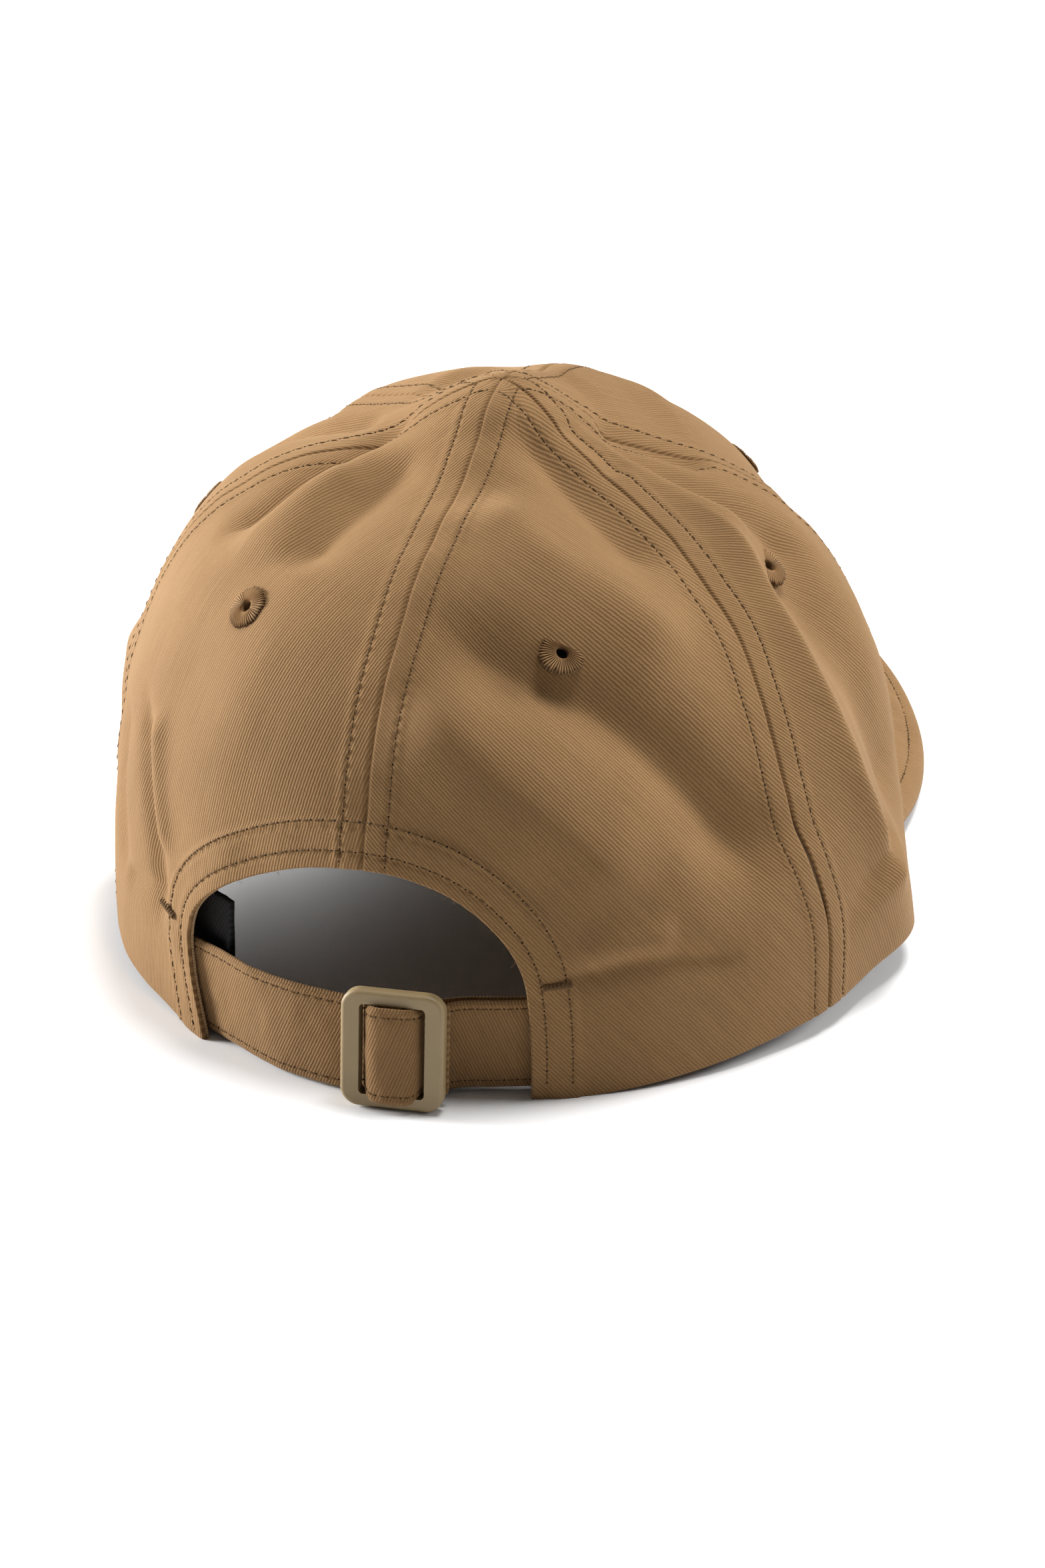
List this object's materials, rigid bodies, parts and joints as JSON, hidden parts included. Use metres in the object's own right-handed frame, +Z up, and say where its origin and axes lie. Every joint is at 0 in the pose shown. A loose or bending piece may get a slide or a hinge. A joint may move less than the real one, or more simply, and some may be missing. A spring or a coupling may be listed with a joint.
{
  "type": "baseball cap",
  "caption": "Unstructured soft cap with a curved visor, stitched crown panels, a back arch and an adjuster strap with a sliding buckle.",
  "frame": {"origin": "centre of the head opening on the standing surface, on the crown's vertical axis", "axes": "+Z up through the crown, -Y towards the visor, +Y towards the back opening, -X to the wearer's right"},
  "size_m": [0.191, 0.2704, 0.128],
  "materials": {
    "twill": "matte cotton twill",
    "strap_twill": "matte cotton twill, folded and edge stitched",
    "thread": "satin embroidery thread",
    "tape": "plain woven tape",
    "sweatband": "matte woven band",
    "board": "moulded sheet",
    "buckle": "matte moulded plastic"
  },
  "bodies": {
    "cap": {"panel_back_left": "twill", "panel_back_right": "twill", "panel_side_left": "twill", "panel_side_right": "twill", "panel_front_left": "twill", "panel_front_right": "twill", "eyelet_back_left": "thread", "eyelet_back_right": "thread", "eyelet_side_left": "thread", "eyelet_side_right": "thread", "eyelet_front_left": "thread", "eyelet_front_right": "thread", "seam_tape_back": "tape", "seam_tape_rear_right": "tape", "seam_tape_fore_right": "tape", "seam_tape_front": "tape", "seam_tape_fore_left": "tape", "seam_tape_rear_left": "tape", "arch_facing": "twill", "sweatband": "sweatband", "visor_board": "board", "visor_top_cover": "twill", "visor_under_cover": "twill", "adjust_strap": "strap_twill", "bartack_left": "thread", "bartack_right": "thread"},
    "slider": {"tri_glide_buckle": "buckle", "keeper_tab": "strap_twill", "strap_bridge": "strap_twill"}
  },
  "joints": [
    {"name": "buckle_slide", "type": "hinge", "parent": "cap", "child": "slider", "pos_m": [0, 0, 0], "axis": [0, 0, 1], "range_deg": [-16, 8]}
  ]
}
